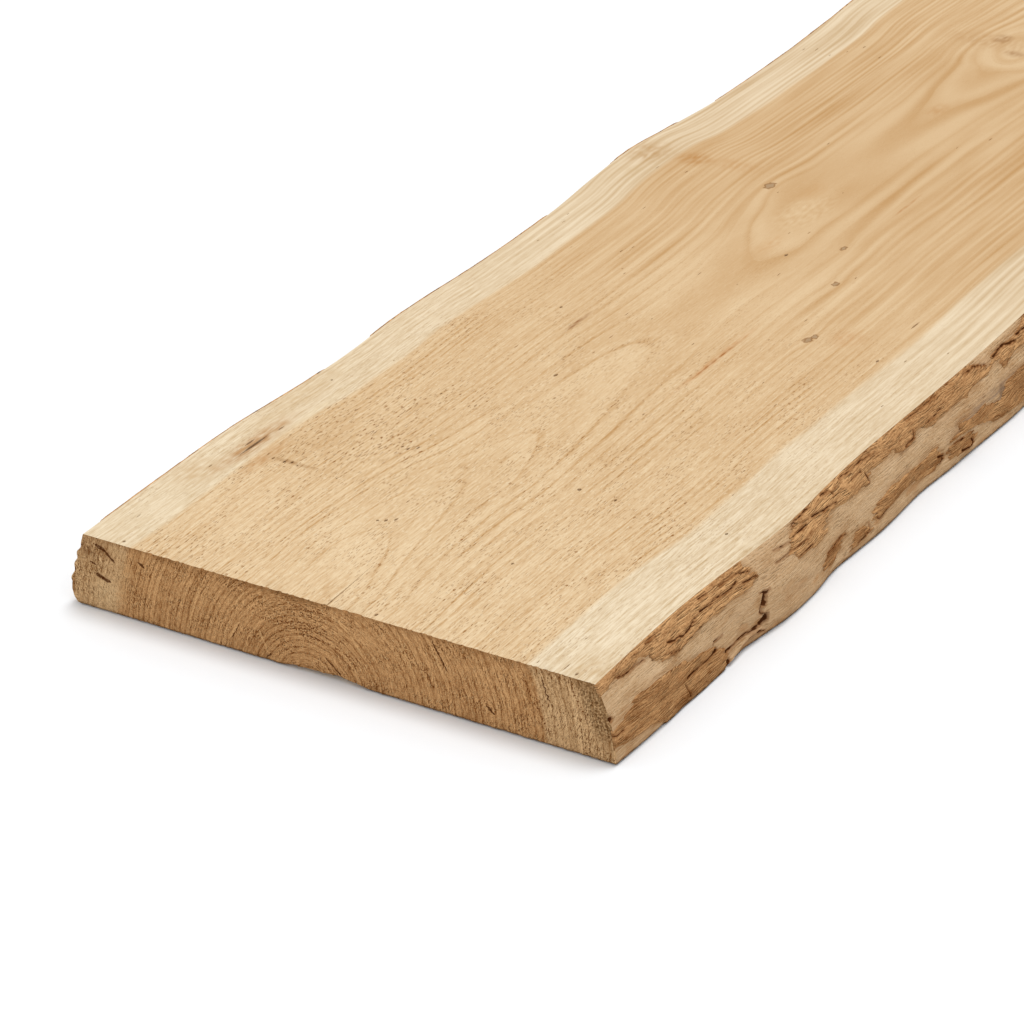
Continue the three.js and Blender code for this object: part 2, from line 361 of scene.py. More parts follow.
# Where the sides of the wood lie on its map, and where the bark of an edge lies on its own map, by
# quarters of its length: first the outside and then the underside.
top_maps = [map_strip(1, 0, (0, -4), (40, 6), 1.7), map_strip(1, 0, (500, -4), (40, 388), 1.7)]
under_map = map_strip(1, 0, (0, -8), (8, 766), 0.45)
near_map = map_strip(0, 2, (-8, 0), (474, 768), 1.8)
far_map = map_strip(0, 2, (-8, 0), (474, 828), 1.5)
right_maps = [map_strip(1, 2, (0, 0), (8, 880), 1.9), map_strip(1, 2, (500, 0), (8, 942), 1.9)]
left_map = map_strip(1, 2, (0, 0), (8, 1002), 0.6)
quarter_length = slab_length / 4
bark_spacing = 127
bark_maps = [
    map_strip(1, 2, (quarter_length * (k % 4), 0), (12, 6 + bark_spacing * k), 4) for k in range(8)
]


def grid_faces(numbers, turned=False):
    """Four-sided faces over a grid of point numbers; turned faces look the other way."""
    a, b = numbers[:-1, :-1], numbers[:-1, 1:]
    c, d = numbers[1:, 1:], numbers[1:, :-1]
    corners = (a, d, c, b) if turned else (a, b, c, d)
    return np.stack(corners, axis=-1).reshape(-1, 4)


# The wood itself: closed, with both live edges, the sawn ends and the worn marks of the top

# The sawn ends: place along the board, the way into the board, columns of points, and the drying crack
# as mouth x, tip x, length along the board, depth and half width.
End = namedtuple("End", "y inward columns check seed")
near_end = End(0, 1, 400, (104.8, 103, 35, 1.5, 0.3), 71)
far_end = End(slab_length, -1, 180, (98.4, 100.2, 48, 9, 0.4), 83)

# Knobs on the left edge, and dents where the height is negative, as (y, z, reach, height).
left_knobs = [
    (1, 22, 2, 0.7), (1, 19.4, 1.2, -0.7), (1, 17, 1.6, 0.7), (1, 13.6, 1.5, -0.8), (1, 10.6, 1.7, 1.1),
    (1, 8, 1, -0.8), (2, 5.4, 1.8, 1.1), (9, 14, 2.6, 0.8), (14, 7, 2.4, 0.7),
]

# The chip off the lower arris of the near end, as (x, z). The far end has it mirrored about its middle.
chip = [(85, 0), (89, 0.9), (97, 1.2), (104, 1.4), (109, 2), (113, 1.4), (117, 1), (122, 0)]
chip_middle_x = 103

# Torn places and pits in the top, as (x, y, width, length along the grain, depth).
top_pits = [
    (13.7, 91, 1.1, 20, 1.8), (11.2, 92, 0.9, 8, 0.8), (14.8, 108, 0.7, 5, 0.6), (8.8, 153, 1, 1.4, 0.8),
    (26, 85.6, 0.8, 2.4, 0.6), (31.2, 85.4, 1, 2.6, 0.8), (34, 86.4, 1, 2, 0.8),
    (37, 85.2, 0.7, 1.6, 0.5), (62.6, 118.5, 1, 2.2, 0.8), (65.4, 118, 0.9, 3.4, 0.7),
    (68.2, 120.6, 0.9, 3, 0.7), (86.2, 63.4, 1.1, 1.6, 0.9), (88.8, 65, 1.3, 2.4, 0.8),
    (91.6, 67.6, 1.1, 3, 0.7), (137.4, 122, 1.8, 2.2, 1.8), (153, 121.4, 1.1, 2.2, 1),
    (200.6, 119, 1.2, 2, 1), (145.4, 60, 1, 1.9, 1), (81.4, 201, 1.5, 3.2, 1), (52, 256, 1.2, 2.2, 0.8),
    (183.6, 276, 1.1, 3, 0.8), (182, 313, 0.8, 9, 0.5), (106.5, 347, 1.4, 3.2, 0.9),
    (123.4, 3.4, 1.3, 2.2, 0.9), (16, 3, 1.2, 2, 0.8), (199.2, 5.6, 0.5, 7, 0.4),
    (204.6, 3, 1, 2.6, 0.7), (189, 3.6, 0.5, 3, 0.4),
]

# Where smaller torn pores are scattered, as x range, y range and number of tries.
torn_pores = [((20, 70), (84, 170), 40), ((8, 205), (3, 330), 60), ((8, 205), (330, 990), 50)]

# Stains on the bare wood of the right edge, as (y, z, reach along y, reach along z, strength). Those
# beside the gaps at the step, near y 104, are painted shade of the step, and those along the foot, near
# z 1, painted contact shadow.
stains_and_shaded_spots = [
    (104, 14.8, 2.4, 2.6, 0.7), (103.4, 7.4, 2.6, 2.4, 0.8), (118, 23.5, 8, 3.4, 0.3),
    (127, 8.5, 12, 4.5, 0.35), (150, 14.6, 7, 2, 0.3), (276, 17, 20, 2, 0.4), (318, 17, 12, 2, 0.3),
    (92, 6.4, 13, 2, 0.7), (0.4, 17.5, 1.5, 1.2, 1.0), (98, 1, 14, 2.4, 0.7), (164, 0.6, 22, 1.6, 0.9),
]

# Where the wood steps out across the right edge, as (z, y), and the flake of wood low down beside it,
# as (y, z).
step_out = [
    (2, 104.6), (5, 107.6), (8.7, 108.7), (10.5, 105), (12.6, 105.6), (14, 108), (17.2, 108.6),
    (20, 109.6),
]
flake = [(80, 1.9), (90, 3.2), (98, 4.4), (104, 5.4)]

# The gaping cracks of the right edge, as outlines of (y, z) points.
right_gaps = [
    [(111, 17.4), (108.4, 17.2), (107.2, 15.6), (106, 13.6), (105.4, 12.7), (107, 12.4), (108, 13.6),
     (108.5, 16)],
    [(108.7, 8.8), (107.3, 8.3), (106, 7.5), (103.2, 6.7), (102.2, 6.1), (105, 5.7), (107.7, 5.8),
     (108.6, 6.8)],
    [(77.6, 1), (79.4, 3.3), (81.2, 3), (80.4, 1)],
    [(-1, 18.7), (1.5, 18.3), (2, 17), (-1, 16.5)],
]

# The thin cracks of the right edge, as width and (y, z) points.
right_cracks = [
    (0.45, (105.4, 12.6), (104.4, 10.6), (106, 9.4), (108.6, 8.7)),
    (0.7, (102.4, 6.1), (97, 5.7), (90, 6), (80, 5.8)),
    (0.6, (90.6, 2.5), (96, 3.3), (101, 3.9), (104, 3.2), (107, 2.2)),
    (0.4, (111, 17.4), (106.6, 17.2), (105.6, 17.5)), (0.4, (72.4, 12), (73.4, 12.8), (79.8, 12.6)),
    (0.25, (120, 22.6), (131, 22.6), (144, 22)), (0.3, (122, 26.4), (133, 25.2)),
    (0.4, (35, 28.7), (42, 28.7)), (0.4, (72.6, 28.6), (78, 28.4)),
    (0.4, (86, 28), (97.6, 27.6), (104, 26.3)),
    (0.55, (70, 25.4), (76.6, 25), (82, 25.4), (90.6, 24.6), (96, 25.3)),
    (0.35, (12.5, 26.8), (19.5, 25.7), (25.8, 25.6), (31, 24.9)),
    (0.5, (46, 24.5), (50, 23.9), (54, 23.9)), (0.5, (53, 23.7), (56.5, 22.7)),
    (0.5, (55, 22.6), (61, 23.4), (66, 24.8)), (0.4, (45, 21), (51, 20.2)),
    (0.4, (98.4, 24.2), (107, 23.6)), (0.5, (0, 12), (1.5, 11.2), (6.6, 11.1)),
    (0.6, (51.6, 9.2), (59.4, 9.2), (68.8, 9.2), (74, 10)), (0.6, (50, 7.2), (52, 2.2)),
    (0.6, (136, 25.8), (147, 25.9)), (0.5, (139, 28.4), (142, 29.4), (154, 29.4)),
    (0.6, (164, 29.2), (170, 28.9), (172, 26.9)), (0.4, (135, 19), (146, 19.3)),
    (0.5, (152, 26.5), (162, 24.9), (172, 23.9)), (0.7, (197, 24.3), (198.5, 21)),
    (0.35, (180, 29), (205, 28.2)), (0.55, (187, 25.8), (195, 25.9)),
    (0.4, (228, 22.3), (236, 23.2), (237, 25.2)), (0.35, (236, 29.1), (262, 29.2)),
    (0.4, (247, 24), (260, 24.7)), (0.4, (284, 28.4), (293, 28.3), (302, 26.2)),
    (0.6, (309, 26.3), (315, 27.1), (321, 27.2), (324, 26.3), (329, 25.4)),
    (0.5, (332, 26.8), (340, 26.8)), (0.4, (157, 10.3), (170, 11.5), (174, 10.8)),
    (0.4, (181, 3.6), (191, 5), (191.4, 7.4)), (0.45, (197, 7.4), (199, 6), (205, 7.2)),
    (0.8, (252, 6.6), (255, 8.6), (250, 9.6)), (0.8, (268, 5), (275, 3.6), (278, 5.2), (276, 6.6)),
    (0.4, (263, 9.8), (270, 9.6)),
]


def on_flake(y, z):
    return rise(distance_to(flake, y, z), 1.2, 0.4)


def wood_relief(edge, y, z):
    """How far the wood of a live edge stands out of its smooth surface."""
    height = 0.1 * rough(y / 13, z / 3.4, edge.seed + 20) + 0.05 * noise(y / 6, z / 1.4, edge.seed + 30)
    if edge.name == "left":
        height += 0.4 * noise(y / 7, z / 2.2, edge.seed + 31)
        for knob_y, knob_z, reach, knob_height in left_knobs:
            height += knob_height * np.exp(-((y - knob_y) ** 2 + (z - knob_z) ** 2) / reach**2)
    else:
        proud = rise(y - np.interp(z, *np.array(step_out).T), -0.2, 0.5)
        proud *= rise(y, 142, 113) * rise(z, 3.2, 5) * rise(z, 20, 17.5)
        in_crack = rise(edge_cracks(edge, y, z), 0.3, 0.8)
        height += 1.1 * proud + 0.8 * on_flake(y, z) - 0.9 * in_crack
    return height * rise(slab_thickness - z, 0, 1.2) * rise(z, 0, 0.8)


def bare_edge(edge, y, z):
    """Points of the wood of a live edge, drawn in at its foot, also where it meets the ends."""
    inset = 1.5 * rise(z, foot_height, 0)
    reach = 4
    from_near, from_far = np.clip([y, slab_length - y], 0, reach)
    inset_y = y + inset * (from_far - from_near) / reach
    return np.stack([edge.wood_x(y, z) + edge.outward * wood_relief(edge, y, z), inset_y, z], axis=-1)


def edge_stain_and_shade(edge, y, z):
    """How much bast is still stuck to the bare wood: most beside the bark, and in a few patches; also
    darker towards the foot, and painted shade in the spots so listed.
    """
    beside = np.max([depth_inside(outline, y, z) for outline in edge.fibrous + edge.smooth], axis=0)
    stain_and_shade = 0.55 * rise(beside + 1.6 * noise(y / 9, z / 2, edge.seed + 40), -2.6, 0.5)
    stain_and_shade += 0.2 * rise(noise(y / 16, z / 5, edge.seed + 41), 0.1, 0.8)
    stain_and_shade += 0.3 * rise(2.5 + 1.2 * noise(y / 12, z, 42) - z, -1, 1.5)
    if edge.name == "right":
        # Stains, and painted shade beside the step and along the foot.
        for spot_y, spot_z, reach_y, reach_z, strength in stains_and_shaded_spots:
            away = ((y - spot_y) / reach_y) ** 2 + ((z - spot_z) / reach_z) ** 2
            stain_and_shade += strength * np.exp(-away)
        stain_and_shade -= 0.8 * on_flake(y, z)
    return np.clip(stain_and_shade, 0, 1)


def edge_cracks(edge, y, z):
    """Over 0.5 in the cracks of the right edge, falling to 0 a millimetre away from them."""
    if edge.name == "left":
        return np.zeros(y.shape)
    wavy_z = z + 0.2 * noise(y / 3, y * 0, 9)
    uneven = 0.55 + 0.3 * noise(y / 2.8, z / 2, 10)
    lines = [distance_to(line, y, wavy_z) - width * uneven for width, *line in right_cracks]
    gaps = [-depth_inside(outline, y, z) for outline in right_gaps]
    return np.clip(0.5 - 0.5 * np.min(lines + gaps, axis=0), 0, 1)


def end_patch(shell, end, left, right):
    """Adds a sawn end between the live edges; returns its numbers by column and its crack's column."""
    mouth, _, _, check_depth, half_width = end.check
    left_x, right_x = (np.array([shell.points[n][0] for n in side]) for side in (left, right))
    width = right_x[0] - left_x[0]
    crack, gap = (mouth - left_x[0]) / width, half_width / width
    even = np.arange(1, end.columns) / end.columns
    even = even[np.abs(even - crack) > 0.7 / end.columns]
    places = np.sort(np.concatenate([even, [crack - gap, crack, crack + gap]]))
    crack_column = int(np.argmin(np.abs(places - crack)))
    x = left_x + (right_x - left_x) * places[:, None]
    along_top, along_bottom = x[:, 0], x[:, -1]
    if end is far_end:
        along_bottom = 2 * chip_middle_x - along_bottom
    bottom = np.interp(along_bottom, *np.array(chip).T)
    flat = np.zeros(len(places))
    small, large = noise(along_top / 0.9, flat, end.seed), noise(along_top / 9, flat, end.seed + 5)
    chipped = rise(small + 0.5 * large, 0.1, 0.9)
    top = slab_thickness - 0.22 * chipped
    top[crack_column] -= check_depth
    z = bottom[:, None] + (top - bottom)[:, None] * np.linspace(1, 0, wood_rows)
    coarse = rough(x / 3.1, z / 4.3, end.seed + 1)
    torn = np.clip(0.22 + 0.2 * coarse + 0.2 * noise(x / 1.2, z / 1.7, end.seed + 2), 0, 0.7)
    torn[:, 0] = 0.12 + 0.8 * chipped
    torn[:, -2] += 0.25
    torn[:, -1] = 1.5 + 0.4 * rise(noise(along_top / 1.7, flat, end.seed + 4), -0.2, 0.9)
    inner = shell.add_points(np.stack([x, end.y + end.inward * torn, z], axis=-1))
    return np.concatenate([[left], inner, [right]]), crack_column + 1


class Sheet:
    """A flat face given by its outline, triangulated around the pits and lines put into it."""

    def __init__(self, shell, outline):
        self.shell = shell
        self.numbers = [int(n) for n in outline]
        count = len(outline)
        self.lines = [(i, (i + 1) % count) for i in range(count)]

    def add_points(self, points):
        start = len(self.numbers)
        self.numbers.extend(int(n) for n in self.shell.add_points(points))
        return list(range(start, len(self.numbers)))

    def add_line(self, places):
        self.lines.extend(zip(places, places[1:]))

    def flat_places(self):
        return np.array([self.shell.points[n][:2] for n in self.numbers])

    def cut_pit(self, x, y, width, length, depth):
        """A slender pit along the grain: a rim level with the top, and a smaller floor under it.

        Returns how much painted shade each point of the floor gets, more in deeper pits.
        """
        shape = [(0, -0.5), (0.42, -0.2), (0.5, 0.15), (0.1, 0.5), (-0.45, 0.22), (-0.5, -0.12)]
        rim, floor = (
            self.add_points([(x + a * width * share, y + b * length * share, z) for a, b in shape])
            for share, z in ((1, slab_thickness), (0.62, slab_thickness - depth))
        )
        self.add_line(rim + rim[:1])
        self.add_line(floor + floor[:1])
        return {self.numbers[n]: min(0.3 + 0.8 * depth, 1) for n in floor}

    def cut_check(self, end, columns, crack_column):
        """A drying crack that opens at an end and thins out along the grain; its floor gets full painted
        shade.
        """
        mouth, tip, length, depth, half_width = end.check
        steps = np.array([0.08, 0.2, 0.34, 0.5, 0.66, 0.8, 0.92])
        middle_line = mouth + (tip - mouth) * steps + 0.35 * noise(steps * 5, steps * 0, 3)
        y = end.y + end.inward * length * steps
        gap = half_width * (1.05 - steps)
        lines = []
        for side, side_depth in ((-1, 0), (1, 0), (0, depth)):
            start = self.numbers.index(int(columns[crack_column + side, 0]))
            z = slab_thickness - side_depth * (1.1 - steps)
            line = self.add_points(np.stack([middle_line + side * gap, y, z], axis=-1))
            lines.append([start] + line)
        tip_place = self.add_points([(tip, end.y + end.inward * length, slab_thickness)])
        for line in lines:
            self.add_line(line + tip_place)
        return {self.numbers[n]: 1 for n in lines[-1]}

    def fill_evenly(self, surface_z, spacing=12.5, margin=6, gap=2.6):
        """Points over the face, clear of its rim and lines, so that its triangles are of a like size."""
        taken = self.flat_places()
        points = []
        for y in np.arange(spacing, slab_length, spacing):
            low, high = left_wood_x(y, surface_z) + margin, right_wood_x(y, surface_z) - margin
            for x in np.linspace(low, high, int((high - low) / spacing)):
                if np.min(np.hypot(taken[:, 0] - x, taken[:, 1] - y)) > gap:
                    points.append((x, y, surface_z))
        self.add_points(points)

    def triangles(self):
        places = [Vector(place) for place in self.flat_places()]
        found = delaunay_2d_cdt(places, self.lines, [], 1, 1e-6)
        assert len(found[0]) == len(places), "an outline crosses another"
        back = [self.numbers[source[0]] for source in found[3]]
        return [[back[n] for n in face] for face in found[2]]


def pits_of_the_top():
    """The torn places of the top, with scattered pores between them that don't touch."""
    rng = np.random.default_rng(5)
    pits = list(top_pits)
    for x_range, y_range, count in torn_pores:
        for _ in range(count):
            x, y = rng.uniform(*x_range), rng.uniform(*y_range)
            width, length, depth = rng.uniform((0.35, 1.4, 0.2), (0.7, 4.2, 0.45))
            beside_check = abs(x - middle_x) < 12 and not 40 < y < 940
            clear = all(
                abs(x - other_x) > width + other_width + 0.4
                or abs(y - other_y) > (length + other_length) / 2 + 0.8
                for other_x, other_y, other_width, other_length, _ in pits
            )
            if clear and not beside_check:
                pits.append((x, y, width, length, depth))
    return pits


def slab_wood():
    shell = Shell()
    grids = [edge_grid(edge.wood_runs, wood_rows) for edge in (right_edge, left_edge)]
    right = shell.add_points(bare_edge(right_edge, *grids[0]))
    left = shell.add_points(bare_edge(left_edge, *grids[1]))
    near, near_crack = end_patch(shell, near_end, left[0], right[0])
    far, far_crack = end_patch(shell, far_end, left[-1], right[-1])
    sides = [near, right[1:-1], far[::-1], left[-2:0:-1]]
    top, under = (Sheet(shell, np.concatenate([side[:, row] for side in sides])) for row in (0, -1))
    # The floors of the checks and pits, with how much painted shade each gets.
    dark = top.cut_check(near_end, near, near_crack)
    dark |= top.cut_check(far_end, far, far_crack)
    for pit in pits_of_the_top():
        dark |= top.cut_pit(*pit)
    top.fill_evenly(slab_thickness)
    under.fill_evenly(0)

    # The numbers of the materials of the flat faces, the ends and the live edges.
    flat, end, live = range(3)
    for face in top.triangles():
        half = int(sum(shell.points[n][1] for n in face) > 3 * slab_length / 2)
        shell.add_faces([face], flat, top_maps[half], smooth=False)
    shell.add_faces([face[::-1] for face in under.triangles()], flat, under_map, smooth=False)
    shell.add_faces(grid_faces(near), end, near_map)
    shell.add_faces(grid_faces(far, turned=True), end, far_map)
    middle = int(np.searchsorted(grids[0][0][:, 0], slab_length / 2))
    shell.add_faces(grid_faces(right[:middle + 1]), live, right_maps[0])
    shell.add_faces(grid_faces(right[middle:]), live, right_maps[1])
    shell.add_faces(grid_faces(left, turned=True), live, left_map)

    piece = shell.build("slab_wood", [sawn_face(), end_grain(), live_edge()])
    piece.data.set_sharp_from_angle(angle=math.radians(50))
    stain_and_shade, crack = np.zeros((2, len(shell.points)))
    for edge, numbers, grid in zip((right_edge, left_edge), (right, left), grids):
        stain_and_shade[numbers] = edge_stain_and_shade(edge, *grid)
        crack[numbers] = edge_cracks(edge, *grid)
    crack[top.numbers] = 0
    crack[list(dark)] = list(dark.values())
    add_attribute(piece, "stain_and_shade", stain_and_shade)
    add_attribute(piece, "crack", crack)
    return piece


# The bark: how thick it is at most, how deep its underside is sunk, and how far its border thins out

bark_thickness = 1.15
bark_root = 0.8
bark_fade = 0.3


def fibrous_height(depth, y, z, seed):
    """Layered bark with ridges along the grain."""
    under_layer = 0.45 * rise(depth, -bark_fade, 0.5)
    over_layer = 0.16 * rise(depth + 1.4 * noise(y / 12, z / 1.3, seed), 1, 1.4)
    ridges = 0.12 * noise(y / 12, z / 1.3, seed + 2) + 0.1 * noise(y / 5, z / 0.95, seed + 3)
    return under_layer + over_layer + ridges * rise(depth, 0, 0.8)


def smooth_height(depth, y, z, seed):
    """Thin lumpy bark."""
    lumps = 0.16 * noise(y / 9, z / 3.4, seed + 4) + 0.1 * noise(y / 6, z / 1.1, seed + 5)
    return 0.5 * rise(depth, -bark_fade, 0.9) + lumps * rise(depth, 0, 1.5)


def bark(edge):
    """The bark of one edge, as a closed sheet whose underside is sunk into the wood."""
    y, z = edge_grid(edge.bark_runs, bark_rows)
    fibrous = bark_depth(edge.fibrous, y, z, edge.seed)
    smooth = bark_depth(edge.smooth, y, z, edge.seed + 5)
    depth = np.maximum(fibrous, smooth)
    crack = edge_cracks(edge, y, z)
    height = np.maximum(
        fibrous_height(fibrous, y, z, edge.seed + 70),
        smooth_height(smooth, y, z, edge.seed + 80),
    )
    height = np.clip(height - 0.5 * rise(crack, 0.35, 0.65), 0, bark_thickness)
    height *= 0.35 + 0.65 * rise(y, 0, 10)
    if edge.name == "right":
        height *= 0.25 + 0.75 * rise(slab_thickness - z, 0, 2)
    height -= 0.35 * rise(depth, 0, -bark_fade)

    corners = [depth[:-1, :-1], depth[1:, :-1], depth[:-1, 1:], depth[1:, 1:]]
    kept = np.max(corners, axis=0).ravel() > -bark_fade
    faces = grid_faces(np.arange(y.size).reshape(y.shape), turned=edge.outward < 0)[kept]
    used, faces = np.unique(faces, return_inverse=True)
    faces = [tuple(face) for face in faces.reshape(-1, 4).tolist()]
    shell = Shell()
    for level in (height, np.full(y.shape, -bark_root)):
        shell.add_points(surface_points(edge, y, z, level).reshape(-1, 3)[used])

    count = len(used)
    places = y.ravel()[used]

    def quarter(numbers):
        return min(int(min(places[n] for n in numbers) // quarter_length), 3)

    for face in faces:
        shell.add_faces([face], 0, bark_maps[quarter(face)])
        shell.add_faces([[n + count for n in reversed(face)]], 0, bark_maps[quarter(face) + 4])
    sides = {(p, q) for face in faces for p, q in zip(face, face[1:] + face[:1])}
    for p, q in sorted(sides):
        if (q, p) not in sides:
            shell.add_faces([(q, p, p + count, q + count)], 0, bark_maps[quarter((p, q))])

    piece = shell.build(f"bark_{edge.name}", [bark_material()])
    for name, values in (("crack", crack), ("depth", depth), ("fibrous", rise(fibrous, -1, 1))):
        add_attribute(piece, name, np.tile(values.ravel()[used], 2))
    return piece


# Materials

def by_math(operation):
    """An operator of Field that a Math node works out."""
    return lambda first, second: calculate(operation, first, second)


class Field:
    """A number or a colour in a material's nodes; plain arithmetic works on the numbers."""

    def __init__(self, socket):
        self.socket = socket
        self.tree = socket.id_data

    __add__ = __radd__ = by_math("ADD")
    __mul__ = __rmul__ = by_math("MULTIPLY")
    __sub__ = by_math("SUBTRACT")
    __truediv__ = by_math("DIVIDE")

    def __rsub__(self, other):
        return calculate("SUBTRACT", other, self)

    def __abs__(self):
        return calculate("ABSOLUTE", self)


def feed(socket, value):
    """Sets an input to a constant, or links it to a field."""
    if isinstance(value, Field):
        value.tree.links.new(value.socket, socket)
    else:
        socket.default_value = value


def node(tree, kind, inputs=(), output=0, **settings):
    """Adds a node with its settings and its inputs, by number or name, and returns one output."""
    made = tree.nodes.new("ShaderNode" + kind)
    for name, value in settings.items():
        setattr(made, name, value)
    for place, value in dict(inputs).items():
        feed(made.inputs[place], value)
    return Field(made.outputs[output])


def calculate(operation, *operands):
    tree = next(operand.tree for operand in operands if isinstance(operand, Field))
    return node(tree, "Math", enumerate(operands), operation=operation)


def distance(first, second):
    return calculate("SQRT", first * first + second * second)


def ramp(value, start, end):
    """0 on start's side and 1 on end's side, with a smooth rise between them."""
    inputs = {"Value": value, "From Min": start, "From Max": end}
    return node(value.tree, "MapRange", inputs, "Result", interpolation_type="SMOOTHSTEP")


def mix(first, second, share):
    """A colour between two others."""
    return node(share.tree, "Mix", {"Factor": share, 6: first, 7: second}, 2, data_type="RGBA")


def follow(value, points):
    """A field that follows (place, value) points along the board, and is level beyond its ends."""
    margin = 100
    reach = slab_length + 2 * margin
    points = [(-margin, points[0][1])] + points + [(slab_length + margin, points[-1][1])]
    values = [point[1] for point in points]
    low, span = min(values), max(values) - min(values)
    places = [((place + margin) / reach, (point - low) / span) for place, point in points]
    made = value.tree.nodes.new("ShaderNodeFloatCurve")
    curve = made.mapping.curves[0]
    curve.points[0].location = places[0]
    curve.points[-1].location = places[-1]
    for place in places[1:-1]:
        curve.points.new(*place)
    made.mapping.update()
    feed(made.inputs["Value"], (value + margin) / reach)
    return Field(made.outputs["Value"]) * span + low


def paint(colour, light):
    """The surface colour that shows as this screen colour under this much light."""
    parts = [part / 255 for part in colour]
    linear = [part / 12.92 if part <= 0.04045 else ((part + 0.055) / 1.055) ** 2.4 for part in parts]
    return (*(min(part / light, 1.0) for part in linear), 1.0)


class Surface:
    """A material in the making, with its colour so far and the place on the board of each point."""

    def __init__(self, name, light):
        self.material = bpy.data.materials.new(name)
        self.material.use_nodes = True
        self.tree = self.material.node_tree
        self.light = light
        metres = node(self.tree, "TexCoord", output="Object")
        to_board = {0: metres, 1: (1 / MM,) * 3, 2: -board_origin}
        place = node(self.tree, "VectorMath", to_board, operation="MULTIPLY_ADD")
        outputs = node(self.tree, "SeparateXYZ", {0: place}).socket.node.outputs
        self.x, self.y, self.z = (Field(output) for output in outputs)

    def noise(self, u, v, w=0, layers=1):
        """Noise of about -1 to 1 over fields that are divided by the size of its lumps."""
        place = node(self.tree, "CombineXYZ", enumerate((u, v, w)))
        inputs = {"Vector": place, "Scale": 1, "Detail": layers - 1}
        return (node(self.tree, "TexNoise", inputs) - 0.5) * 2.6

    def random_for(self, number):
        """A different number from 0 to 1 for each whole number."""
        return node(self.tree, "TexWhiteNoise", {"W": number}, "Value", noise_dimensions="1D")

    def attribute(self, name):
        return node(self.tree, "Attribute", output="Fac", attribute_name=name)

    def blot(self, u, v, middle_u, middle_v, reach_u, reach_v, inner=0.5, outer=1.2):
        """1 inside an oval in the plane of two fields, and 0 outside it."""
        place = node(
            self.tree, "CombineXYZ", {0: (u - middle_u) / reach_u, 1: (v - middle_v) / reach_v}
        )
        away = node(self.tree, "VectorMath", {0: place}, "Value", operation="LENGTH")
        return ramp(away, outer, inner)

    def stroke(self, u, v, start_u, start_v, end_u, end_v, half_width):
        """1 along the middle of a line that thins out towards its ends, and 0 beside it."""
        du, dv = end_u - start_u, end_v - start_v
        from_u, from_v = u - start_u, v - start_v
        along = (from_u * du + from_v * dv) / (du * du + dv * dv)
        across = abs(from_u * dv - from_v * du) / math.hypot(du, dv)
        width = ramp(abs(along - 0.5), 0.55, 0.3) * half_width
        return ramp(across, width + 0.01, width * 0.4)

    def between(self, pale, dark, shade):
        """A colour between two screen colours."""
        return mix(paint(pale, self.light), paint(dark, self.light), shade)

    def tint(self, colour, share):
        """Brings the colour so far nearer to a screen colour."""
        self.colour = mix(self.colour, paint(colour, self.light), share)

    def tint_patches(self, u, v, patches, outer, share):
        for *place, colour, strength in patches:
            self.tint(colour, self.blot(u, v, *place, 0.2, outer) * strength * share)

    def tint_strokes(self, u, v, strokes, colour, share):
        for stroke in strokes:
            self.tint(colour, self.stroke(u, v, *stroke) * share)

    def paint_shade_at_foot_and_cracks(self, foot_shadow_colour):
        """Paints shade on a live edge: a contact shadow along its foot, and shade in its cracks and
        beside them.
        """
        # Painted contact shadow along the foot.
        foot = ramp(self.z + self.noise(self.y / 3, self.z, 9) * 0.3, 1.9, 0.6)
        self.tint(foot_shadow_colour, foot * 0.85)
        # Painted shade in the cracks: brown beside them and near black in them.
        crack = self.attribute("crack") + self.noise(self.y / 2, self.z / 0.6, 6) * 0.05
        self.tint((118, 70, 34), ramp(crack, 0.1, 0.5) * 0.5)
        self.tint((66, 31, 9), ramp(crack, 0.46, 0.58) * 0.95)

    def finish(self, roughness, height, relief):
        """Joins the colour, and a fine relief of this many millimetres, to the shader."""
        bump = node(self.tree, "Bump", {"Distance": relief * MM, "Height": height})
        shader = self.tree.nodes["Principled BSDF"]
        feed(shader.inputs["Normal"], bump)
        feed(shader.inputs["Base Color"], self.colour)
        feed(shader.inputs["Roughness"], roughness)
        feed(shader.inputs["Specular IOR Level"], 0)
        return self.material


# How brightly the top, the ends and the live edges are lit, against a white that just fills the screen.
top_light = 1.19
end_light = 0.84
edge_light = 0.885

# Knots, as (x, y, reach of the bent grain, how far it bends, radius of the knot itself). The radius is 0
# where only the grain shows that there is a knot below.
knots = [
    (67.5, 407, 16, 1.8, 2.1), (151.4, 279.4, 12, 1, 1.5), (152.4, 283.4, 6, 0.2, 1.3),
    (124, 365, 8, 0.5, 1), (137, 332, 8, 0.6, 1.2), (81.5, 612, 14, 1.8, 0), (94, 598, 12, 1.6, 0),
    (150, 742, 16, 2, 0), (58, 858, 12, 1.6, 0),
]

